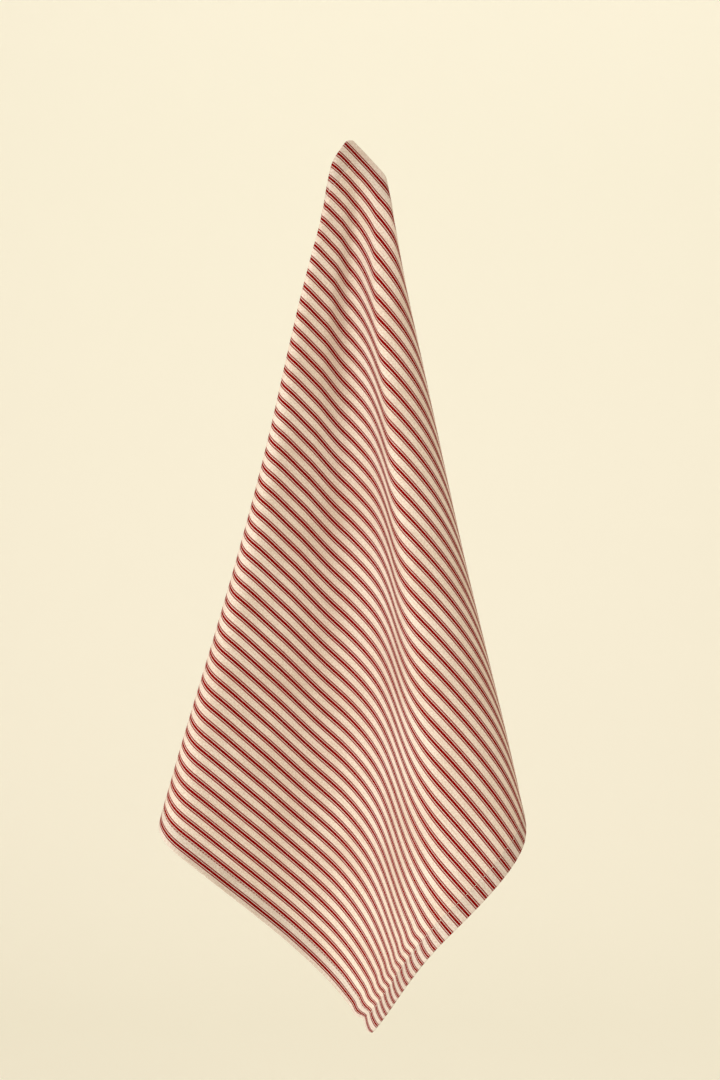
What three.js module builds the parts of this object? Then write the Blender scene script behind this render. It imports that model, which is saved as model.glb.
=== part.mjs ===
// A square cotton napkin with hemmed edges, hanging from one corner.
// Millimetres, +Z up. The viewer stands on the -Y side, and +X is to the viewer's right.
// The origin is the tip of the held corner.
import * as THREE from 'three';

// Cloth as it is cut and hemmed
const SIDE = 500;
const CLOTH_THICKNESS = 1.2;
const HEM_THICKNESS = 2.0;
const HEM_WIDTH = 14;
const HEM_EDGE_STEP = 2;

// A point of the cloth is named by u and v. u is its distance from the lower right edge and
// v its distance from the lower left edge, so the low corner is u = 0, v = 0 and the held
// corner is u = SIDE, v = SIDE.

// The folds run nearly straight down, as lines that would meet a little above the held corner.
// FAN_U and FAN_V say how far past that corner the meeting point lies, along u and along v.
const FAN_U = 22.7;
const FAN_V = 38.3;

// Distances from the meeting point at which the fold table gives its four values
const REACH = { neck: 100, upper: 300, lower: 500, hem: 700 };
const CURVE_START = 60;
const CURVE_END = 760;

// Each row is one fold, met in turn from the right free edge round to the left one.
// at: angle of the fold on the flat cloth, in degrees about the meeting point
// spread: how many degrees it takes to turn, so a small spread is a sharp fold
// heading: which way the cloth runs after it, 0 to the viewer's left, 90 towards the viewer,
//          -90 away from the viewer
// Each has a value at the neck, in the upper part, in the lower part and at the hem.
const FIRST_HEADING = { neck: 165, upper: 155, lower: 150, hem: 150 };
const FOLDS = [
  {
    name: 'curl of the right flap',
    at: { neck: 14, upper: 14, lower: 14, hem: 14 },
    spread: { neck: 5, upper: 5, lower: 5, hem: 5 },
    heading: { neck: 93, upper: 99, lower: 101, hem: 106 },
  },
  {
    name: 'right side',
    at: { neck: 31, upper: 32.5, lower: 30, hem: 26.5 },
    spread: { neck: 5.5, upper: 5.2, lower: 1.5, hem: 7 },
    heading: { neck: -7, upper: 3, lower: 1, hem: -34 },
  },
  {
    name: 'ridge',
    at: { neck: 36.5, upper: 38.5, lower: 41.5, hem: 41.5 },
    spread: { neck: 1, upper: 0.8, lower: 1.7, hem: 3.7 },
    heading: { neck: -81, upper: -93, lower: -76, hem: -50 },
  },
  {
    name: 'valley',
    at: { neck: 48, upper: 45, lower: 49.5, hem: 56 },
    spread: { neck: 1.7, upper: 2.8, lower: 2.6, hem: 1.8 },
    heading: { neck: 44, upper: 22, lower: 28, hem: 29 },
  },
  {
    name: 'bend of the left panel',
    at: { neck: 56, upper: 55.5, lower: 57.5, hem: 59 },
    spread: { neck: 1.4, upper: 3.7, lower: 2.6, hem: 2.5 },
    heading: { neck: 30, upper: 28, lower: 33, hem: 59 },
  },
  {
    name: 'left side',
    at: { neck: 64.7, upper: 63.3, lower: 66.5, hem: 72.5 },
    spread: { neck: 0.8, upper: 0.8, lower: 0.8, hem: 3.8 },
    heading: { neck: -121, upper: -82, lower: -93, hem: -93 },
  },
  {
    name: 'curl of the left flap',
    at: { neck: 74, upper: 74, lower: 76, hem: 80 },
    spread: { neck: 3, upper: 3, lower: 3, hem: 3 },
    heading: { neck: -140, upper: -140, lower: -140, hem: -140 },
  },
];

// The line towards the low corner: degrees to the viewer's right, and towards the viewer
const CENTRE_ANGLE = 45;
const CENTRE_RIGHT = { neck: 1.7, upper: 3.1, lower: 0.3, hem: -0.4 };
const CENTRE_FORWARD = { neck: 3.6, upper: -4.7, lower: 2.9, hem: -4.7 };

// Short soft creases, each of which turns the heading over a patch of the cloth.
// at and spread: degrees on the flat cloth; turn: degrees of heading; reach and length: mm
const SOFT_CREASES = [
  { name: 'top of the valley', at: 44, spread: 5.5, turn: 18, reach: 100, length: 75 },
  { name: 'below the grip', at: 54, spread: 2, turn: 5.5, reach: 110, length: 150 },
  { name: 'trough of the left panel', at: 59, spread: 3.5, turn: 24, reach: 245, length: 55 },
  { name: 'side of the valley', at: 42.5, spread: 2.5, turn: 22, reach: 418, length: 90 },
  { name: 'front of the right lobe', at: 32, spread: 2.5, turn: -14, reach: 470, length: 80 },
  { name: 'foot of the left panel', at: 61.5, spread: 4, turn: -3.5, reach: 550, length: 80 },
  { name: 'foot of the valley', at: 43.7, spread: 3.5, turn: -40, reach: 571, length: 52 },
];

// The held corner is pinched flat and turns back at its two sides.
// tilt: degrees to the right at which the top right edge would leave the meeting point
// heading: which way the flat part runs, as in the table of folds
// drop: how far the gathered corner hangs below the fan that it is drawn from
const PINCH = {
  tilt: 50,
  heading: 32,
  rightFold: 29.5,
  rightSpread: 1.5,
  rightHeading: 110,
  leftFold: 69.5,
  leftSpread: 3.5,
  leftHeading: -120,
  drop: 3.2,
  flatReach: 20,
  endReach: 190,
};

// Steps of the net on which the hanging shape is worked out
const ANGLE_STEP = 0.25;
const ANGLE_END = 90;
const REACH_STEP = 5;
const REACH_END = 785;

// Spacing of the mesh lines, finest at the held corner, where the folds are tight
const WIDE_SPACING = 11.5;
const FINE_SPACING = 3.6;
const FINE_ZONE = 130;

function radians(degrees) {
  return THREE.MathUtils.degToRad(degrees);
}

// Value at a reach, on the smooth curve through a row's four values
function valueAt(row, reach) {
  const place = THREE.MathUtils.clamp(reach, CURVE_START, CURVE_END);
  let value = 0;
  for (const level of Object.keys(REACH)) {
    let share = 1;
    for (const other of Object.keys(REACH)) {
      if (other !== level) {
        share *= (place - REACH[other]) / (REACH[level] - REACH[other]);
      }
    }
    value += row[level] * share;
  }
  return value;
}

// Share of a fold's turn that is done at an angle
function turned(angle, at, spread) {
  return 0.5 * (1 + Math.tanh((angle - at) / spread));
}

function fanHeading(angle, reach) {
  let heading = valueAt(FIRST_HEADING, reach);
  let before = heading;
  for (const fold of FOLDS) {
    const after = valueAt(fold.heading, reach);
    const done = turned(angle, valueAt(fold.at, reach), valueAt(fold.spread, reach));
    heading += (after - before) * done;
    before = after;
  }
  for (const crease of SOFT_CREASES) {
    const across = (angle - crease.at) / crease.spread;
    const down = (reach - crease.reach) / crease.length;
    heading += crease.turn * Math.exp(-across * across - down * down);
  }
  return heading;
}

function pinchHeading(angle) {
  const onRight = 1 - turned(angle, PINCH.rightFold, PINCH.rightSpread);
  const onLeft = turned(angle, PINCH.leftFold, PINCH.leftSpread);
  const between = 1 - onRight - onLeft;
  return PINCH.rightHeading * onRight + PINCH.heading * between + PINCH.leftHeading * onLeft;
}

// Directions of all the lines of the fan at one reach. The cloth doesn't stretch, so a step
// of one degree on the flat cloth is a step of one degree between two lines, along the heading.
function fanDirections(headingOf, rightAtCentre, forwardAtCentre) {
  const count = Math.round(ANGLE_END / ANGLE_STEP) + 1;
  const centre = Math.round(CENTRE_ANGLE / ANGLE_STEP);
  const right = new Array(count).fill(0);
  const forward = new Array(count).fill(0);
  right[centre] = radians(rightAtCentre);
  forward[centre] = radians(forwardAtCentre);
  for (const way of [1, -1]) {
    for (let i = centre; i + way >= 0 && i + way < count; i += way) {
      const heading = radians(headingOf((i + way / 2) * ANGLE_STEP));
      const step = way * radians(ANGLE_STEP);
      forward[i + way] = forward[i] + Math.sin(heading) * step;
      const level = (forward[i] + forward[i + way]) / 2;
      right[i + way] = right[i] - (Math.cos(heading) * step) / Math.cos(level);
    }
  }
  return right.map((angle, i) => new THREE.Vector3(
    Math.cos(forward[i]) * Math.sin(angle),
    -Math.sin(forward[i]),
    -Math.cos(forward[i]) * Math.cos(angle),
  ));
}

// Net of points of the hanging cloth, by reach and angle, from the meeting point
function hangingNet() {
  const pinched = fanDirections(pinchHeading, PINCH.tilt - CENTRE_ANGLE, 0);
  const rows = [];
  let points = pinched.map(() => new THREE.Vector3());
  let last = null;
  for (let reach = 0; reach <= REACH_END; reach += REACH_STEP) {
    const fan = fanDirections(
      (angle) => fanHeading(angle, reach),
      valueAt(CENTRE_RIGHT, reach),
      valueAt(CENTRE_FORWARD, reach),
    );
    if (last) {
      points = points.map((point, i) => {
        const step = fan[i].clone().add(last[i]).multiplyScalar(REACH_STEP / 2);
        return point.clone().add(step);
      });
    }
    last = fan;
    const flat = 1 - THREE.MathUtils.smootherstep(reach, PINCH.flatReach, PINCH.endReach);
    rows.push(points.map((point, i) => {
      const held = pinched[i].clone().multiplyScalar(reach);
      held.z -= PINCH.drop;
      return point.clone().lerp(held, flat);
    }));
  }
  return rows;
}

const NET = hangingNet();

// Where the point u, v of the cloth hangs, from the meeting point of the folds
function fromMeetingPoint(u, v) {
  const alongU = SIDE + FAN_U - u;
  const alongV = SIDE + FAN_V - v;
  const row = Math.hypot(alongU, alongV) / REACH_STEP;
  const column = THREE.MathUtils.radToDeg(Math.atan2(alongV, alongU)) / ANGLE_STEP;
  const i = Math.floor(row);
  const j = Math.floor(column);
  const upper = NET[i][j].clone().lerp(NET[i][j + 1], column - j);
  const lower = NET[i + 1][j].clone().lerp(NET[i + 1][j + 1], column - j);
  return upper.lerp(lower, row - i);
}

const TIP = fromMeetingPoint(SIDE, SIDE);

function hangingPoint(u, v) {
  return fromMeetingPoint(u, v).sub(TIP);
}

// Unit normal of the cloth's back face, over a span wide enough to smooth the net
function backNormal(u, v) {
  const span = 2;
  const alongU = hangingPoint(u + span, v).sub(hangingPoint(u - span, v));
  const alongV = hangingPoint(u, v + span).sub(hangingPoint(u, v - span));
  return alongU.cross(alongV).normalize();
}

// The hems are doubled cloth, so they are thicker than the field
function thicknessAt(u, v) {
  const inFromEdge = Math.min(u, v, SIDE - u, SIDE - v);
  return inFromEdge <= HEM_WIDTH ? HEM_THICKNESS : CLOTH_THICKNESS;
}

// Positions of the mesh lines along one side: the hems' edges, and the field between them
function meshLines() {
  const lines = [0, HEM_WIDTH];
  const fieldEnd = SIDE - HEM_WIDTH - HEM_EDGE_STEP;
  let place = HEM_WIDTH + HEM_EDGE_STEP;
  const field = [];
  while (place < fieldEnd) {
    field.push(place);
    const near = THREE.MathUtils.smoothstep(place, SIDE - FINE_ZONE, SIDE);
    place += THREE.MathUtils.lerp(WIDE_SPACING, FINE_SPACING, near);
  }
  const stretch = (fieldEnd - field[0]) / (place - field[0]);
  for (const line of field) {
    lines.push(field[0] + (line - field[0]) * stretch);
  }
  lines.push(fieldEnd, SIDE - HEM_WIDTH, SIDE - HEM_WIDTH / 2, SIDE);
  return lines;
}

// The sheet as one closed body: a front face, a back face and a rim
function sheetGeometry() {
  const lines = meshLines();
  const count = lines.length;
  const positions = [];
  for (const side of [-1, 1]) {
    for (const u of lines) {
      for (const v of lines) {
        const offset = (side * thicknessAt(u, v)) / 2;
        const point = hangingPoint(u, v).addScaledVector(backNormal(u, v), offset);
        positions.push(point.x, point.y, point.z);
      }
    }
  }
  const front = (i, j) => i * count + j;
  const back = (i, j) => count * count + i * count + j;
  const index = [];
  const quad = (a, b, c, d) => index.push(a, b, c, a, c, d);
  const last = count - 1;
  for (let i = 0; i < last; i += 1) {
    for (let j = 0; j < last; j += 1) {
      quad(front(i, j), front(i, j + 1), front(i + 1, j + 1), front(i + 1, j));
      quad(back(i, j), back(i + 1, j), back(i + 1, j + 1), back(i, j + 1));
    }
    quad(front(i, 0), front(i + 1, 0), back(i + 1, 0), back(i, 0));
    quad(front(i, last), back(i, last), back(i + 1, last), front(i + 1, last));
    quad(front(0, i), back(0, i), back(0, i + 1), front(0, i + 1));
    quad(front(last, i), front(last, i + 1), back(last, i + 1), back(last, i));
  }
  const geometry = new THREE.BufferGeometry();
  geometry.setAttribute('position', new THREE.Float32BufferAttribute(positions, 3));
  geometry.setIndex(index);
  geometry.computeVertexNormals();
  return geometry;
}

const cotton = new THREE.MeshStandardMaterial({
  color: new THREE.Color('#dcc0ab'),
  roughness: 0.9,
  metalness: 0,
});

const napkin = new THREE.Mesh(sheetGeometry(), cotton);
napkin.name = 'napkin';

const model = new THREE.Group();
model.name = 'hanging_napkin';
model.add(napkin);

export default model;
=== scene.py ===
import math

import bpy
import numpy as np
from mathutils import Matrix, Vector


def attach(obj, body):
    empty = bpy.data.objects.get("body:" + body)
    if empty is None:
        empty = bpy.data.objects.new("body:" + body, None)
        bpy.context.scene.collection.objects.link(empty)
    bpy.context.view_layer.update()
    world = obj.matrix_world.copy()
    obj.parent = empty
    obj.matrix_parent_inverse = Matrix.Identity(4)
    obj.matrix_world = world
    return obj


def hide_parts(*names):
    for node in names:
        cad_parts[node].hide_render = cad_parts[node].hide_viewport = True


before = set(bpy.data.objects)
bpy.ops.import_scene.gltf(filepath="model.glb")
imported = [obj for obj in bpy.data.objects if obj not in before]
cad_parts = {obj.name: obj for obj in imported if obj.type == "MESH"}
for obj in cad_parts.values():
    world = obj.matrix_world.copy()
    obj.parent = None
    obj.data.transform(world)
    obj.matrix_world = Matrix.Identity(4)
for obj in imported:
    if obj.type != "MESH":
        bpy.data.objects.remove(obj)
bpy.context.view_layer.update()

# Cloth as it is cut and hemmed, and how far its front face lies in front of the fan
SIDE = 0.500
CLOTH_THICKNESS = 0.00055
HEM_THICKNESS = 0.0016
HEM_WIDTH = 0.014
FRONT_OFFSET = 0.0005

# The same fan of folds as in the part's source, with lengths in metres and angles in degrees.
# A point of the cloth is named by u and v. u is its distance from the lower right edge and
# v its distance from the lower left edge, and the held corner is u = SIDE, v = SIDE.
FAN_U = 0.0227
FAN_V = 0.0383
REACH = {"neck": 0.100, "upper": 0.300, "lower": 0.500, "hem": 0.700}
CURVE_START = 0.060
CURVE_END = 0.760

# Columns of each row: neck, upper, lower, hem
FIRST_HEADING = (165, 155, 150, 150)
FOLDS = [
    {
        "name": "curl of the right flap",
        "at": (14, 14, 14, 14),
        "spread": (5, 5, 5, 5),
        "heading": (93, 99, 101, 106),
    },
    {
        "name": "right side",
        "at": (31, 32.5, 30, 26.5),
        "spread": (5.5, 5.2, 1.5, 7),
        "heading": (-7, 3, 1, -34),
    },
    {
        "name": "ridge",
        "at": (36.5, 38.5, 41.5, 41.5),
        "spread": (1, 0.8, 1.7, 3.7),
        "heading": (-81, -93, -76, -50),
    },
    {
        "name": "valley",
        "at": (48, 45, 49.5, 56),
        "spread": (1.7, 2.8, 2.6, 1.8),
        "heading": (44, 22, 28, 29),
    },
    {
        "name": "bend of the left panel",
        "at": (56, 55.5, 57.5, 59),
        "spread": (1.4, 3.7, 2.6, 2.5),
        "heading": (30, 28, 33, 59),
    },
    {
        "name": "left side",
        "at": (64.7, 63.3, 66.5, 72.5),
        "spread": (0.8, 0.8, 0.8, 3.8),
        "heading": (-121, -82, -93, -93),
    },
    {
        "name": "curl of the left flap",
        "at": (74, 74, 76, 80),
        "spread": (3, 3, 3, 3),
        "heading": (-140, -140, -140, -140),
    },
]
CENTRE_ANGLE = 45
CENTRE_RIGHT = (1.7, 3.1, 0.3, -0.4)
CENTRE_FORWARD = (3.6, -4.7, 2.9, -4.7)

# Short soft creases: at, spread and turn in degrees, reach and length in metres
SOFT_CREASES = [
    {"name": "top of the valley",
     "at": 44, "spread": 5.5, "turn": 18, "reach": 0.100, "length": 0.075},
    {"name": "below the grip",
     "at": 54, "spread": 2, "turn": 5.5, "reach": 0.110, "length": 0.150},
    {"name": "trough of the left panel",
     "at": 59, "spread": 3.5, "turn": 24, "reach": 0.245, "length": 0.055},
    {"name": "side of the valley",
     "at": 42.5, "spread": 2.5, "turn": 22, "reach": 0.418, "length": 0.090},
    {"name": "front of the right lobe",
     "at": 32, "spread": 2.5, "turn": -14, "reach": 0.470, "length": 0.080},
    {"name": "foot of the left panel",
     "at": 61.5, "spread": 4, "turn": -3.5, "reach": 0.550, "length": 0.080},
    {"name": "foot of the valley",
     "at": 43.7, "spread": 3.5, "turn": -40, "reach": 0.571, "length": 0.052},
]
PINCH = {
    "tilt": 50,
    "heading": 32,
    "right_fold": 29.5,
    "right_spread": 1.5,
    "right_heading": 110,
    "left_fold": 69.5,
    "left_spread": 3.5,
    "left_heading": -120,
    "drop": 0.0032,
    "flat_reach": 0.020,
    "end_reach": 0.190,
}
ANGLE_STEP = 0.125
ANGLE_END = 90
REACH_STEP = 0.0025
REACH_END = 0.785
NORMAL_SPAN = 0.002

# Mesh lines of the sheet, counted inwards from an edge
RIM_ROUND = 0.0007
RIM_LINES = (-1.0, -0.86, -0.5)
HEM_LINES = (0.0, 0.0010, 0.0024, 0.0042, 0.0064, 0.0086, 0.0106, 0.0122, 0.0130, 0.0136, 0.0140)
HEM_FOOT = 0.0147
FIELD_SPACING = 0.00245

# Edge of each half of the map that materials are baked to, as a share of the whole map
MAP_MARGIN = 0.005

# The cloth's corners are worn round
CORNER_RADIUS = 0.0045

# The seam of the lower right hem draws the cloth along, so that the stripes kink beside it.
# at and spread: distance in from the edge; shift: how far the cloth moves up along the edge.
# KINKS_FADE is where they die out, from the low corner along the edge
SEAM_KINKS = [
    {"name": "above the stitches", "at": 0.025, "spread": 0.004, "shift": -0.0013},
    {"name": "at the stitches", "at": 0.015, "spread": 0.004, "shift": 0.0020},
    {"name": "at the edge", "at": 0.0, "spread": 0.002, "shift": 0.0010},
]
KINKS_FADE = (0.105, 0.150)
KINK_BULGE = {"at": 0.019, "spread": 0.0035, "height": 0.0007}

# Waves that make the kinks uneven. wave: length of cloth over which one turns by a radian
KINK_WAVES = [
    {"share": 0.18, "wave": 0.0071, "start": 0.6},
    {"share": 0.12, "wave": 0.0031, "start": 0.0},
]

# Wavy low corner: u, v, and the spread along each; shift as for the kinks
CORNER_WAVES = [
    {"name": "bulge of the lower left edge",
     "u": 0.013, "v": 0.0, "u_spread": 0.008, "v_spread": 0.005, "shift": 0.0020},
    {"name": "dip of the first stripe",
     "u": 0.0, "v": 0.0080, "u_spread": 0.009, "v_spread": 0.005, "shift": -0.0024},
]

# Puckers along the stitching, with each wave's length as above: a broad wave, and a finer
# one that comes and goes with the beat
PUCKER = {
    "height": 0.00018,
    "spread": 0.006,
    "wave": 0.0052,
    "fine_share": 0.7,
    "fine_wave": 0.0033,
    "fine_start": 1.3,
    "beat": 0.021,
}

# How far the stitches pull the front and back faces in
SEAM_DENT = {"front": 0.00012, "back": 0.00018, "spread": 0.0007}

# The ticking stripe: a dark band with a thin line on each side, repeated across the cloth.
# FIRST_STRIPE is the place of the first one in repeats from the lower left edge
STRIPE_REPEATS = 52.2
STRIPE_PITCH = SIDE / STRIPE_REPEATS
FIRST_STRIPE = 0.56
BAND_WIDTH = 0.00198
LINE_OFFSET = 0.00194
LINE_WIDTH = 0.00104
STRIPE_EDGE = 0.00005
STRIPE_STEP = 0.00014

# The twill: ends run along the stripe and picks across it. Each pick passes over one end in
# TWILL_ENDS, and WEFT_EDGE says where it shows, as a share of a twill repeat either side
END_SPACING = 0.00035
PICK_SPACING = 0.00042
TWILL_ENDS = 4
WEFT_EDGE = (0.08, 0.17)
YARN_HEIGHT = 0.00002
BUMP_STRENGTH = 0.5

# Shares of the weft that show: over the cream and over a line on the face, and on the back
WEFT_OVER_CREAM = 0.35
WEFT_OVER_LINE = 0.3
WEFT_ON_BACK = 0.55
WEFT_PALER_AT_STRIPE = 0.8

# Uneven yarn as noise over the whole side: scales along and across the warp, and shares
CLOUDING = {"scale": 9.0, "share": 0.25}
YARN_GRAINS = [
    {"name": "long thin streaks", "along": 14.0, "across": 620.0, "share": 0.25},
    {"name": "short grains", "along": 330.0, "across": 430.0, "share": 0.50},
]
GRAIN_DETAIL = 3.0
GRAIN_EDGE = (0.42, 0.58)

# Light that comes through the cloth, how much less at the doubled hems, and their soft edge
LIGHT_THROUGH = 0.12
LESS_AT_HEM = 0.08
HEM_EDGE = 0.0004

# Topstitching of the hems. The first stitch starts FIRST_STITCH of a pitch along its seam
STITCH_INSET = 0.0130
STITCH_PITCH = 0.0032
STITCH_LENGTH = 0.0026
FIRST_STITCH = 0.2
THREAD_RADIUS = 0.00017
THREAD_STEPS = 5
THREAD_SIDES = 6

# A stitch rises at its middle and dives at its ends, in radii, and its ends are thinner.
# TWIST_SCALE is the scale of the noise that gives the thread its fine twist
STITCH_RISE = 1.3
STITCH_DIVE = 0.9
STITCH_END = 0.45
TWIST_SCALE = 4000.0

# The stage: a floor that sweeps up into a backdrop, with faint mottling
FLOOR_LEVEL = -1.15
BACKDROP_PLACE = 2.6
BACKDROP_TOP = 2.4
SWEEP_RADIUS = 1.2
SWEEP_STEPS = 24
STAGE_HALF_WIDTH = 3.6
STAGE_FRONT = -3.4
MOTTLE_SCALE = 1.5
MOTTLE_PALER = 1.02

# Lamps, with the light's size across and up, and its power in watts
CLOTH_MIDDLE = (0.0, 0.0, -0.38)
LAMPS = [
    {"name": "key_light", "place": (-1.40, -2.42, -0.38), "aim": CLOTH_MIDDLE,
     "size": (1.3, 1.6), "power": 32.0},
    {"name": "side_light", "place": (-2.42, -1.40, -0.38), "aim": CLOTH_MIDDLE,
     "size": (1.3, 1.6), "power": 16.0},
    {"name": "upper_light", "place": (1.07, -1.86, 1.42), "aim": CLOTH_MIDDLE,
     "size": (1.3, 1.6), "power": 7.0},
    {"name": "wall_light", "place": (0.7, 0.6, 2.2), "aim": (0.7, 2.4, -0.8),
     "size": (3.0, 0.8), "power": 27.0},
]
WORLD_COLOUR = (1.0, 0.79, 0.59, 1.0)
WORLD_STRENGTH = 0.64

# The photograph's frame and view
FRAME_WIDTH = 720
FRAME_HEIGHT = 1080
MEETING_PIXEL = (357, 75)
VIEW_DISTANCE = 1.8
VIEW_PITCH = 7
PIXELS_PER_METRE = 1332.6
SENSOR_HEIGHT = 24


def value_at(row, reach):
    """Value at a reach, on the smooth curve through a row's four values."""
    place = np.clip(reach, CURVE_START, CURVE_END)
    levels = list(REACH.values())
    value = 0
    for value_here, level in zip(row, levels):
        share = 1
        for other in levels:
            if other != level:
                share = share * (place - other) / (level - other)
        value = value + value_here * share
    return value


def turned(angle, at, spread):
    """Share of a fold's turn that is done at an angle."""
    return 0.5 * (1 + np.tanh((angle - at) / spread))


def fan_heading(angle, reach):
    """Heading of the cloth across the fan: 0 goes left, and positive comes to the viewer."""
    heading = value_at(FIRST_HEADING, reach)
    before = heading
    for fold in FOLDS:
        after = value_at(fold["heading"], reach)
        done = turned(angle, value_at(fold["at"], reach), value_at(fold["spread"], reach))
        heading = heading + (after - before) * done
        before = after
    for crease in SOFT_CREASES:
        across = (angle - crease["at"]) / crease["spread"]
        down = (reach - crease["reach"]) / crease["length"]
        heading = heading + crease["turn"] * np.exp(-across * across - down * down)
    return heading


def pinch_heading(angle):
    """Heading of the flat pinched part, with its two sides folded back."""
    on_right = 1 - turned(angle, PINCH["right_fold"], PINCH["right_spread"])
    on_left = turned(angle, PINCH["left_fold"], PINCH["left_spread"])
    between = PINCH["heading"] * (1 - on_right - on_left)
    return PINCH["right_heading"] * on_right + between + PINCH["left_heading"] * on_left


def fan_directions(heading, right_at_centre, forward_at_centre):
    """Directions of the lines of the fan, one row for each reach. heading holds the headings
    halfway between the lines, because one degree of flat cloth is one degree between lines."""
    step = math.radians(ANGLE_STEP)
    centre = round(CENTRE_ANGLE / ANGLE_STEP)
    turn = np.radians(heading)
    start = np.zeros(turn.shape[:-1] + (1,))
    forward = np.concatenate([start, np.cumsum(np.sin(turn) * step, -1)], -1)
    forward = forward - forward[..., centre:centre + 1] + np.radians(forward_at_centre)
    level = (forward[..., 1:] + forward[..., :-1]) / 2
    right = np.concatenate([start, np.cumsum(-np.cos(turn) * step / np.cos(level), -1)], -1)
    right = right - right[..., centre:centre + 1] + np.radians(right_at_centre)
    return np.stack(
        [
            np.cos(forward) * np.sin(right),
            -np.sin(forward),
            -np.cos(forward) * np.cos(right),
        ],
        -1,
    )


def smootherstep(value, low, high):
    t = np.clip((value - low) / (high - low), 0, 1)
    return t * t * t * (t * (6 * t - 15) + 10)


def bell(place, middle, spread):
    return np.exp(-(((place - middle) / spread) ** 2))


def hanging_net():
    """Net of points of the hanging cloth, by reach and angle, from the meeting point."""
    reach = np.arange(0, REACH_END + REACH_STEP / 2, REACH_STEP)[:, None]
    middles = (np.arange(round(ANGLE_END / ANGLE_STEP)) + 0.5) * ANGLE_STEP
    fan = fan_directions(
        fan_heading(middles[None, :], reach),
        value_at(CENTRE_RIGHT, reach),
        value_at(CENTRE_FORWARD, reach),
    )
    steps = (fan[1:] + fan[:-1]) / 2 * REACH_STEP
    points = np.concatenate([np.zeros_like(fan[:1]), np.cumsum(steps, 0)], 0)
    pinched = fan_directions(pinch_heading(middles)[None, :], PINCH["tilt"] - CENTRE_ANGLE, 0.0)
    held = pinched * reach[:, :, None]
    held[..., 2] -= PINCH["drop"]
    flat = 1 - smootherstep(reach, PINCH["flat_reach"], PINCH["end_reach"])[:, :, None]
    return points * (1 - flat) + held * flat


NET = hanging_net()


def from_meeting_point(u, v):
    """Where the points u, v of the cloth hang, from the meeting point of the folds."""
    along_u = SIDE + FAN_U - u
    along_v = SIDE + FAN_V - v
    row = np.hypot(along_u, along_v) / REACH_STEP
    column = np.degrees(np.arctan2(along_v, along_u)) / ANGLE_STEP
    i = np.floor(row).astype(int)
    j = np.floor(column).astype(int)
    down = (row - i)[..., None]
    over = (column - j)[..., None]
    upper = NET[i, j] * (1 - over) + NET[i, j + 1] * over
    lower = NET[i + 1, j] * (1 - over) + NET[i + 1, j + 1] * over
    return upper * (1 - down) + lower * down


TIP = from_meeting_point(np.array([SIDE]), np.array([SIDE]))[0]


def hanging_point(u, v):
    """Where the points u, v of the cloth hang, from the tip of the held corner."""
    return from_meeting_point(u, v) - TIP


def front_normal(u, v):
    """Unit normal of the cloth's front face, over a span wide enough to smooth the net."""
    along_u = hanging_point(u + NORMAL_SPAN, v) - hanging_point(u - NORMAL_SPAN, v)
    along_v = hanging_point(u, v + NORMAL_SPAN) - hanging_point(u, v - NORMAL_SPAN)
    normal = np.cross(along_v, along_u)
    return normal / np.linalg.norm(normal, axis=-1, keepdims=True)


def inset(u, v):
    """Distance in from the nearest edge, below zero on the rounded rim."""
    return np.minimum(np.minimum(u, v), np.minimum(SIDE - u, SIDE - v))


def along_hem(u, v):
    """Distance along the nearest edge."""
    by_u = np.minimum(u, SIDE - u) < np.minimum(v, SIDE - v)
    return np.where(by_u, v, u)


def kinked(v):
    """How strongly the seam kinks the cloth: fully near the low corner, not at all higher up."""
    uneven = 1
    for row in KINK_WAVES:
        uneven = uneven + row["share"] * np.sin(v / row["wave"] + row["start"])
    return uneven * (1 - smootherstep(v, *KINKS_FADE))


def worn(u, v):
    """Draws the corners in, so that a corner square becomes a quarter of a disc."""
    past_u = np.clip(CORNER_RADIUS - np.minimum(u, SIDE - u), 0, None)
    past_v = np.clip(CORNER_RADIUS - np.minimum(v, SIDE - v), 0, None)
    inward_u = past_u * (1 - np.sqrt(1 - 0.5 * (past_v / CORNER_RADIUS) ** 2))
    inward_v = past_v * (1 - np.sqrt(1 - 0.5 * (past_u / CORNER_RADIUS) ** 2))
    round_u = u + np.where(u < SIDE / 2, inward_u, -inward_u)
    round_v = v + np.where(v < SIDE / 2, inward_v, -inward_v)
    return round_u, round_v


def settled(u, v):
    """Where the woven point u, v lies on the smooth hanging sheet."""
    slide = 0
    for kink in SEAM_KINKS:
        slide = slide + kink["shift"] * bell(u, kink["at"], kink["spread"])
    slide = slide * kinked(v)
    for wave in CORNER_WAVES:
        near = bell(u, wave["u"], wave["u_spread"]) * bell(v, wave["v"], wave["v_spread"])
        slide = slide + wave["shift"] * near
    round_u, round_v = worn(u, v)
    return round_u, round_v + slide


def relief(u, v):
    """Height of the puckers along the stitching and of the bulge above the kinked seam."""
    along = along_hem(u, v)
    fine = np.sin(along / PUCKER["fine_wave"] + PUCKER["fine_start"]) * np.sin(along / PUCKER["beat"])
    ripple = np.sin(along / PUCKER["wave"]) + PUCKER["fine_share"] * fine
    pucker = PUCKER["height"] * ripple * bell(inset(u, v), STITCH_INSET, PUCKER["spread"])
    bulge = KINK_BULGE["height"] * bell(u, KINK_BULGE["at"], KINK_BULGE["spread"])
    return pucker + bulge * kinked(v)


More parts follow.
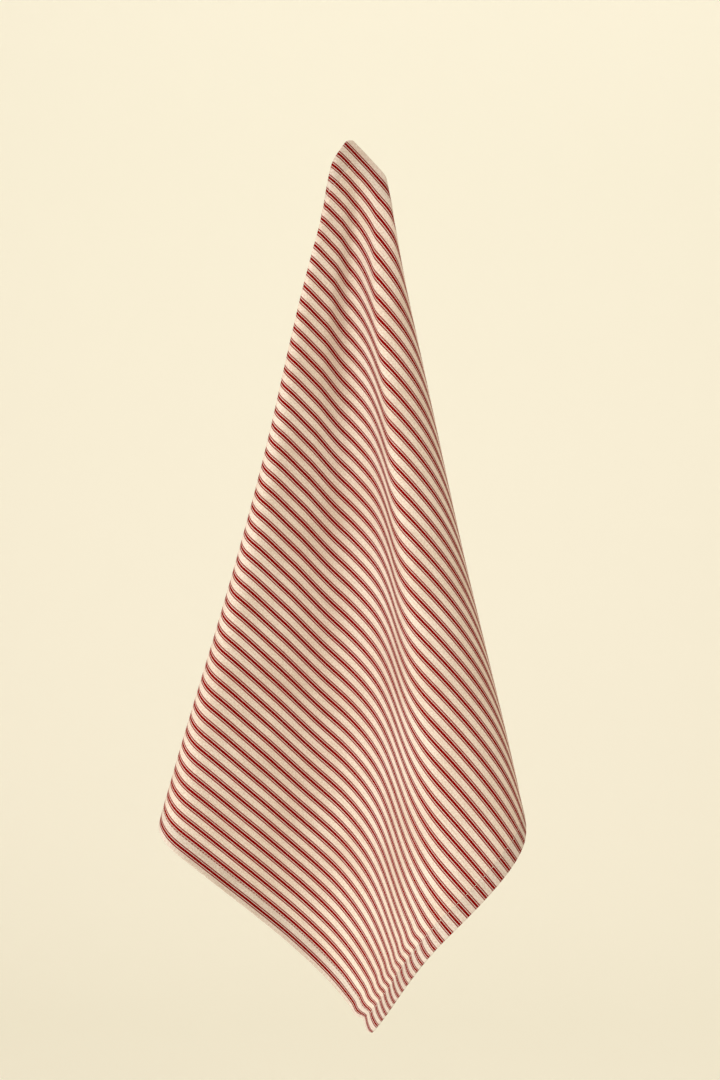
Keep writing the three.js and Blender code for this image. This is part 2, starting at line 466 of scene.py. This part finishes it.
def offsets(u, v):
    """How far the front and back faces lie in front of the hanging surface."""
    from_edge = inset(u, v)
    hem = 1 - np.clip((from_edge - HEM_WIDTH) / (HEM_FOOT - HEM_WIDTH), 0, 1)
    thickness = CLOTH_THICKNESS + (HEM_THICKNESS - CLOTH_THICKNESS) * hem
    seam = bell(from_edge, STITCH_INSET, SEAM_DENT["spread"])
    front = FRONT_OFFSET - SEAM_DENT["front"] * seam
    back = FRONT_OFFSET - thickness + SEAM_DENT["back"] * seam
    beyond = np.clip(-from_edge / RIM_ROUND, 0, 1)
    middle = (front + back) / 2
    half = (front - back) / 2 * np.sqrt(1 - beyond * beyond)
    lift = relief(u, v)
    return middle + half + lift, middle - half + lift


def face_point(u, v, offset):
    """Where the points u, v of a face lie, a given distance in front of the hanging surface."""
    place_u, place_v = settled(u, v)
    return hanging_point(place_u, place_v) + front_normal(place_u, place_v) * offset[..., None]


def mesh_lines():
    """Positions of the mesh lines along one side: the rims, the hems and the field."""
    edge = [RIM_ROUND * line for line in RIM_LINES] + list(HEM_LINES)
    count = round((SIDE - 2 * HEM_FOOT) / FIELD_SPACING)
    field = np.linspace(HEM_FOOT, SIDE - HEM_FOOT, count + 1)
    return np.concatenate([edge, field, [SIDE - place for place in reversed(edge)]])


def linked(name, data):
    """A new object in the scene that holds this mesh, lamp or camera."""
    holder = bpy.data.objects.new(name, data)
    bpy.context.scene.collection.objects.link(holder)
    return holder


def smooth_mesh(name, points, faces, materials):
    """A mesh with smooth faces and these materials."""
    mesh = bpy.data.meshes.new(name)
    mesh.from_pydata(points, [], faces)
    mesh.polygons.foreach_set("use_smooth", np.ones(len(faces), bool))
    for material in materials:
        mesh.materials.append(material)
    return mesh


def add_map(mesh, name, across, up):
    layer = mesh.uv_layers.new(name=name)
    layer.data.foreach_set("uv", np.stack([across, up], -1).astype(np.float32).ravel())


def grid_quads(numbers):
    """Quads between the points of a grid, which holds the points' numbers."""
    a, b = numbers[:-1, :-1], numbers[1:, :-1]
    c, d = numbers[1:, 1:], numbers[:-1, 1:]
    return np.stack([a, d, c, b], -1).reshape(-1, 4)


def make_sheet(face_material, back_material):
    """The sheet as one closed mesh: a front face, a back face, and a rim that they share."""
    lines = mesh_lines()
    count = len(lines)
    u, v = np.meshgrid(lines, lines, indexing="ij")
    front_offset, back_offset = offsets(u, v)
    front = face_point(u, v, front_offset)
    back = face_point(u, v, back_offset)
    inner = np.zeros((count, count), bool)
    inner[1:-1, 1:-1] = True
    number = np.arange(count * count).reshape(count, count)
    back_number = number.copy()
    back_number[inner] = count * count + np.arange(inner.sum())
    points = np.concatenate([front.reshape(-1, 3), back[inner]])
    faces = np.concatenate([grid_quads(number), grid_quads(back_number)[:, ::-1]])
    materials = [face_material, back_material]
    mesh = smooth_mesh("napkin_cloth", points.tolist(), faces.tolist(), materials)

    # The hems are turned in, so on the back their cloth shows its face
    middle = (lines[1:] + lines[:-1]) / 2
    face_u, face_v = (grid.ravel() for grid in np.meshgrid(middle, middle, indexing="ij"))
    face_inset = inset(face_u, face_v)
    in_hem = face_inset < HEM_WIDTH
    on_front = np.zeros(len(in_hem), bool)
    on_back = np.concatenate([on_front, ~on_front])
    hem_on_back = np.concatenate([on_front, in_hem])
    shows_back = on_back & ~hem_on_back
    mesh.polygons.foreach_set("material_index", shows_back.astype(np.int32))

    # The weave runs on round the edges that the stripes follow, and onto the turned hems
    corners = np.array([loop.vertex_index for loop in mesh.loops])
    cloth_u = np.concatenate([u.ravel(), u[inner]])[corners]
    cloth_v = np.concatenate([v.ravel(), v[inner]])[corners]
    by_low = np.concatenate([on_front, face_v == face_inset])
    by_high = np.concatenate([on_front, SIDE - face_v == face_inset])
    folded_low = np.repeat(hem_on_back & by_low, 4)
    folded_high = np.repeat(hem_on_back & by_high, 4)
    woven_v = np.where(folded_low, -cloth_v, np.where(folded_high, 2 * SIDE - cloth_v, cloth_v))
    add_map(mesh, "weave", cloth_u / SIDE, woven_v / SIDE)

    # The map for baking holds the front in its left half and the back in its right half
    across = np.clip(cloth_u / SIDE, 0, 1) * (0.5 - 2 * MAP_MARGIN) + MAP_MARGIN
    up = np.clip(cloth_v / SIDE, 0, 1) * (1 - 2 * MAP_MARGIN) + MAP_MARGIN
    add_map(mesh, "OFBake", across + np.where(np.repeat(on_back, 4), 0.5, 0), up)
    mesh.validate()
    return linked("napkin_cloth", mesh)


def stitch_rows():
    """Start and end of each topstitch on the flat cloth, along the four hems."""
    first = STITCH_INSET
    count = int((SIDE - 2 * first) / STITCH_PITCH)
    starts = first + (np.arange(count) + FIRST_STITCH) * (SIDE - 2 * first) / count
    rows = []
    for edge in (first, SIDE - first):
        for start in starts:
            end = start + STITCH_LENGTH
            rows.append(((start, edge), (end, edge)))
            rows.append(((edge, start), (edge, end)))
    return np.array(rows)


def make_stitches(material):
    """The topstitching as one mesh of short threads, which dive into the cloth at their ends."""
    rows = stitch_rows()
    along = np.linspace(0, 1, THREAD_STEPS)
    start, end = rows[:, 0], rows[:, 1]
    places = start[:, None, :] + (end - start)[:, None, :] * along[None, :, None]
    u, v = places[..., 0], places[..., 1]
    front_offset, back_offset = offsets(u, v)
    normal = front_normal(*settled(u, v))
    arch = np.sin(along * math.pi)[None, :]
    radius = (THREAD_RADIUS * (STITCH_END + (1 - STITCH_END) * arch))[..., None, None]
    ring = np.arange(THREAD_SIDES) * 2 * math.pi / THREAD_SIDES
    over = np.cos(ring)[None, None, :, None]
    out = np.sin(ring)[None, None, :, None]
    points = []
    faces = []
    for offset, side in ((front_offset, 1), (back_offset, -1)):
        height = offset + side * THREAD_RADIUS * (STITCH_RISE * arch - STITCH_DIVE)
        line = face_point(u, v, height)
        way = line[:, -1] - line[:, 0]
        way = way / np.linalg.norm(way, axis=-1, keepdims=True)
        level = np.cross(normal, way[:, None, :])
        around = level[:, :, None, :] * over + normal[:, :, None, :] * out
        block = line[:, :, None, :] + around * radius
        base = sum(len(done) for done in points)
        points.append(block.reshape(-1, 3))
        numbers = base + np.arange(block[..., 0].size).reshape(block.shape[:3])
        after = np.roll(numbers, -1, axis=2)
        a, b = numbers[:, :-1], numbers[:, 1:]
        c, d = after[:, 1:], after[:, :-1]
        faces += np.stack([a, d, c, b], -1).reshape(-1, 4).tolist()
        faces += numbers[:, 0, :].tolist()
        faces += numbers[:, -1, ::-1].tolist()
    mesh = smooth_mesh("topstitching", np.concatenate(points).tolist(), faces, [material])
    mesh.validate()
    return linked("topstitching", mesh)


class Nodes:
    """Short ways to add shader nodes to one material."""

    # Sockets of a Mix node that hold its share and its colours
    MIX_SHARE, MIX_FIRST, MIX_SECOND, MIX_RESULT = 0, 6, 7, 2

    def __init__(self, name):
        self.material = bpy.data.materials.new(name)
        self.material.use_nodes = True
        self.tree = self.material.node_tree
        self.tree.nodes.clear()

    def add(self, kind, **settings):
        node = self.tree.nodes.new(kind)
        for key, value in settings.items():
            setattr(node, key, value)
        return node

    def join(self, value, socket):
        if isinstance(value, bpy.types.NodeSocket):
            self.tree.links.new(value, socket)
        else:
            socket.default_value = value

    def math(self, operation, *values):
        node = self.add("ShaderNodeMath", operation=operation)
        for value, socket in zip(values, node.inputs):
            self.join(value, socket)
        return node.outputs[0]

    def smooth(self, value, low, high, start=0.0, end=1.0):
        node = self.add("ShaderNodeMapRange", interpolation_type="SMOOTHSTEP")
        for given, socket in zip((value, low, high, start, end), node.inputs):
            self.join(given, socket)
        return node.outputs[0]

    def mix(self, share, first, second, blend="MIX"):
        node = self.add("ShaderNodeMix", data_type="RGBA", blend_type=blend)
        self.join(share, node.inputs[self.MIX_SHARE])
        self.join(first, node.inputs[self.MIX_FIRST])
        self.join(second, node.inputs[self.MIX_SECOND])
        return node.outputs[self.MIX_RESULT]

    def noise(self, vector, scale, detail=2.0):
        node = self.add("ShaderNodeTexNoise")
        self.join(vector, node.inputs["Vector"])
        node.inputs["Scale"].default_value = scale
        node.inputs["Detail"].default_value = detail
        return node.outputs["Fac"]

    def surface(self, colour, numbers):
        """A Principled shader of this colour, with numbers for its sockets by name."""
        shader = self.add("ShaderNodeBsdfPrincipled")
        self.join(colour, shader.inputs["Base Color"])
        for name, number in numbers.items():
            shader.inputs[name].default_value = number
        return shader

    def finish(self, shader):
        out = self.add("ShaderNodeOutputMaterial")
        self.join(shader.outputs[0], out.inputs[0])
        return self.material


def linear(red, green, blue):
    """A linear colour from the usual 0 to 255 numbers, by the sRGB curve."""
    def one(value):
        share = value / 255
        return share / 12.92 if share <= 0.04045 else ((share + 0.055) / 1.055) ** 2.4
    return (one(red), one(green), one(blue), 1.0)


CREAM = linear(251, 241, 232)
CREAM_SHADE = linear(227, 212, 198)
WEFT_SHADE = linear(203, 184, 163)
# Painted shade: the doubled hems are made greyer and darker, for the lesser light that comes through
# them
HEM_PAINTED_SHADE = linear(234, 235, 236)
RED = linear(140, 3, 6)
GLOW = linear(250, 226, 194)
THREAD = linear(240, 228, 208)
BACKDROP = linear(241, 244, 234)


def twill(n, u, v):
    """The twill's beat along its diagonal, from 0 to 0.5, where the weft shows, and the bump."""
    end = n.math("DIVIDE", v, END_SPACING)
    pick = n.math("DIVIDE", u, PICK_SPACING)
    diagonal = n.math("ADD", n.math("FLOOR", end), pick)
    beat = n.math("PINGPONG", n.math("DIVIDE", diagonal, TWILL_ENDS), 0.5)
    weft = n.smooth(beat, *WEFT_EDGE, 1.0, 0.0)
    height = n.math(
        "ADD",
        n.math("MULTIPLY", n.math("SUBTRACT", 1.0, weft), YARN_HEIGHT),
        n.math("MULTIPLY", n.math("PINGPONG", end, 0.5), YARN_HEIGHT),
    )
    bump = n.add("ShaderNodeBump")
    bump.inputs["Strength"].default_value = BUMP_STRENGTH
    bump.inputs["Distance"].default_value = 1.0
    n.join(height, bump.inputs["Height"])
    return beat, weft, bump.outputs[0]


def bar(n, distance, width):
    """One within half a width of a line, and zero beyond, with a soft edge."""
    return n.smooth(distance, width / 2 - STRIPE_EDGE, width / 2 + STRIPE_EDGE, 1.0, 0.0)


def stripes(n, v, beat):
    """Where the dark yarns lie, and which of them are a stripe's thin lines."""
    middle_beat = 0.25
    repeat = n.math("SUBTRACT", n.math("DIVIDE", v, STRIPE_PITCH), FIRST_STRIPE)
    away = n.math("MULTIPLY", n.math("PINGPONG", repeat, 0.5), STRIPE_PITCH)
    stepped = n.math("MULTIPLY", n.math("SUBTRACT", middle_beat, beat), STRIPE_STEP / middle_beat)
    band = bar(n, n.math("ADD", away, stepped), BAND_WIDTH)
    line = bar(n, n.math("ABSOLUTE", n.math("SUBTRACT", away, LINE_OFFSET)), LINE_WIDTH)
    return n.math("MAXIMUM", band, line), line


def uneven_cream(n, place):
    """Cream yarn with broad faint clouding, streaks along the warp and short grains."""
    clouding = n.noise(place, CLOUDING["scale"], GRAIN_DETAIL)
    shade = n.math("MULTIPLY", clouding, CLOUDING["share"])
    for row in YARN_GRAINS:
        stretch = n.add("ShaderNodeVectorMath", operation="MULTIPLY")
        n.join(place, stretch.inputs[0])
        stretch.inputs[1].default_value = (row["along"], row["across"], 1.0)
        grain = n.noise(stretch.outputs[0], 1.0, GRAIN_DETAIL)
        shade = n.math("ADD", shade, n.math("MULTIPLY", grain, row["share"]))
    return n.mix(n.smooth(shade, *GRAIN_EDGE), CREAM, CREAM_SHADE)


def weft_on_face(n, weft, stripe, line):
    """Share of the weft that shows on the face, beside the stripe and over its thin lines."""
    in_cream = n.math("MULTIPLY", weft, n.math("SUBTRACT", 1.0, stripe))
    in_line = n.math("MULTIPLY", weft, n.math("MULTIPLY", line, WEFT_OVER_LINE))
    return n.math("ADD", n.math("MULTIPLY", in_cream, WEFT_OVER_CREAM), in_line)


def hem_share(n, u, v):
    """One on the doubled hems and zero on the field."""
    from_u = n.math("MINIMUM", u, n.math("SUBTRACT", SIDE, u))
    from_far = n.math("ABSOLUTE", n.math("SUBTRACT", SIDE, v))
    from_v = n.math("MINIMUM", n.math("ABSOLUTE", v), from_far)
    edge = n.math("MINIMUM", from_u, from_v)
    return n.smooth(edge, HEM_WIDTH - HEM_EDGE, HEM_WIDTH + HEM_EDGE, 1.0, 0.0)


def ticking(name, is_face):
    """The woven ticking: mostly the striped warp on its face, and more of the weft behind."""
    n = Nodes(name)
    place = n.add("ShaderNodeUVMap", uv_map="weave").outputs[0]
    split = n.add("ShaderNodeSeparateXYZ")
    n.join(place, split.inputs[0])
    u = n.math("MULTIPLY", split.outputs[0], SIDE)
    v = n.math("MULTIPLY", split.outputs[1], SIDE)
    beat, weft, bump = twill(n, u, v)
    stripe, line = stripes(n, v, beat)
    paler = n.math("MULTIPLY", stripe, WEFT_PALER_AT_STRIPE)
    weft_cream = n.mix(paler, WEFT_SHADE, CREAM)
    warp = n.mix(stripe, uneven_cream(n, place), RED)
    over = weft_on_face(n, weft, stripe, line) if is_face else WEFT_ON_BACK
    woven = n.mix(over, warp, weft_cream)
    in_hem = hem_share(n, u, v)

    # The hems' colour is multiplied by painted shade, for the lesser light that comes through the
    # doubled cloth
    cloth = n.surface(
        n.mix(in_hem, woven, HEM_PAINTED_SHADE, "MULTIPLY"),
        {"Roughness": 0.88, "Specular IOR Level": 0.04},
    )
    n.join(bump, cloth.inputs["Normal"])
    through = n.add("ShaderNodeBsdfTranslucent")
    n.join(n.mix(stripe, GLOW, RED), through.inputs["Color"])
    n.join(bump, through.inputs["Normal"])
    both = n.add("ShaderNodeMixShader")
    share = n.math("SUBTRACT", LIGHT_THROUGH, n.math("MULTIPLY", in_hem, LESS_AT_HEM))
    n.join(share, both.inputs[0])
    n.join(cloth.outputs[0], both.inputs[1])
    n.join(through.outputs[0], both.inputs[2])
    return n.finish(both)


def thread():
    """Matt cotton sewing thread with a fine twist."""
    n = Nodes("hem_thread")
    place = n.add("ShaderNodeTexCoord")
    fibre = n.noise(place.outputs["Object"], TWIST_SCALE)
    cloth = n.surface(
        n.mix(fibre, THREAD, CREAM_SHADE),
        {"Roughness": 0.75, "Sheen Weight": 0.1},
    )
    return n.finish(cloth)


def stage_paint():
    """A plain matt surface with faint mottling."""
    n = Nodes("stage_paint")
    place = n.add("ShaderNodeTexCoord")
    mottle = n.noise(place.outputs["Object"], MOTTLE_SCALE)
    paler = tuple(min(1.0, value * MOTTLE_PALER) for value in BACKDROP[:3]) + (1.0,)
    paint = n.surface(
        n.mix(mottle, BACKDROP, paler),
        {"Roughness": 0.95, "Specular IOR Level": 0.1},
    )
    return n.finish(paint)


def make_stage():
    """A pale floor that curves up into the backdrop."""
    profile = [(STAGE_FRONT, FLOOR_LEVEL), (BACKDROP_PLACE - SWEEP_RADIUS, FLOOR_LEVEL)]
    for step in range(1, SWEEP_STEPS):
        turn = step / SWEEP_STEPS * math.pi / 2
        profile.append((
            BACKDROP_PLACE - SWEEP_RADIUS + SWEEP_RADIUS * math.sin(turn),
            FLOOR_LEVEL + SWEEP_RADIUS * (1 - math.cos(turn)),
        ))
    profile += [(BACKDROP_PLACE, FLOOR_LEVEL + SWEEP_RADIUS), (BACKDROP_PLACE, BACKDROP_TOP)]
    points = []
    for side in (-STAGE_HALF_WIDTH, STAGE_HALF_WIDTH):
        points += [(side, y, z) for y, z in profile]
    count = len(profile)
    faces = [(i, i + 1, count + i + 1, count + i) for i in range(count - 1)]
    linked("stage_sweep", smooth_mesh("stage_sweep", points, faces, [stage_paint()]))


def make_lamp(name, place, aim, size, power):
    lamp = bpy.data.lights.new(name, "AREA")
    lamp.shape = "RECTANGLE"
    lamp.size, lamp.size_y = size
    lamp.energy = power
    holder = linked(name, lamp)
    holder.location = place
    holder.rotation_euler = (Vector(aim) - Vector(place)).to_track_quat("-Z", "Y").to_euler()
    holder.visible_camera = False


def make_lights():
    """Soft light from the front left and the upper right, a lit backdrop, and warm light all round."""
    for lamp in LAMPS:
        make_lamp(**lamp)
    world = bpy.data.worlds.new("studio")
    world.use_nodes = True
    background = world.node_tree.nodes["Background"]
    background.inputs["Color"].default_value = WORLD_COLOUR
    background.inputs["Strength"].default_value = WORLD_STRENGTH
    bpy.context.scene.world = world
    bpy.context.scene.view_settings.view_transform = "Standard"


def keep_stripes_sharp():
    """Hand the fine stripes to the denoiser as they are, because it blurs them otherwise."""
    bpy.context.scene.cycles.denoising_prefilter = "NONE"


def make_camera():
    """The photograph's view: pitched down a little, with the meeting point at its pixel."""
    pitch = math.radians(VIEW_PITCH)
    ahead = Vector((0.0, math.cos(pitch), -math.sin(pitch)))
    up = Vector((0.0, math.sin(pitch), math.cos(pitch)))
    to_right = (FRAME_WIDTH / 2 - MEETING_PIXEL[0]) / PIXELS_PER_METRE
    below = (FRAME_HEIGHT / 2 - MEETING_PIXEL[1]) / PIXELS_PER_METRE
    camera = bpy.data.cameras.new("photo_view")
    camera.sensor_fit = "VERTICAL"
    camera.sensor_height = SENSOR_HEIGHT
    camera.lens = SENSOR_HEIGHT * PIXELS_PER_METRE * VIEW_DISTANCE / FRAME_HEIGHT
    holder = linked("photo_view", camera)
    from_meeting = Vector((to_right, 0.0, 0.0)) - up * below - ahead * VIEW_DISTANCE
    holder.location = from_meeting - Vector(TIP.tolist())
    holder.rotation_euler = (math.radians(90 - VIEW_PITCH), 0.0, 0.0)
    bpy.context.scene.camera = holder


make_camera()
cloth = make_sheet(ticking("ticking_face", True), ticking("ticking_back", False))
stitches = make_stitches(thread())
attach(cloth, "root")
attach(stitches, "root")
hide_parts("napkin")
make_stage()
make_lights()
keep_stripes_sharp()
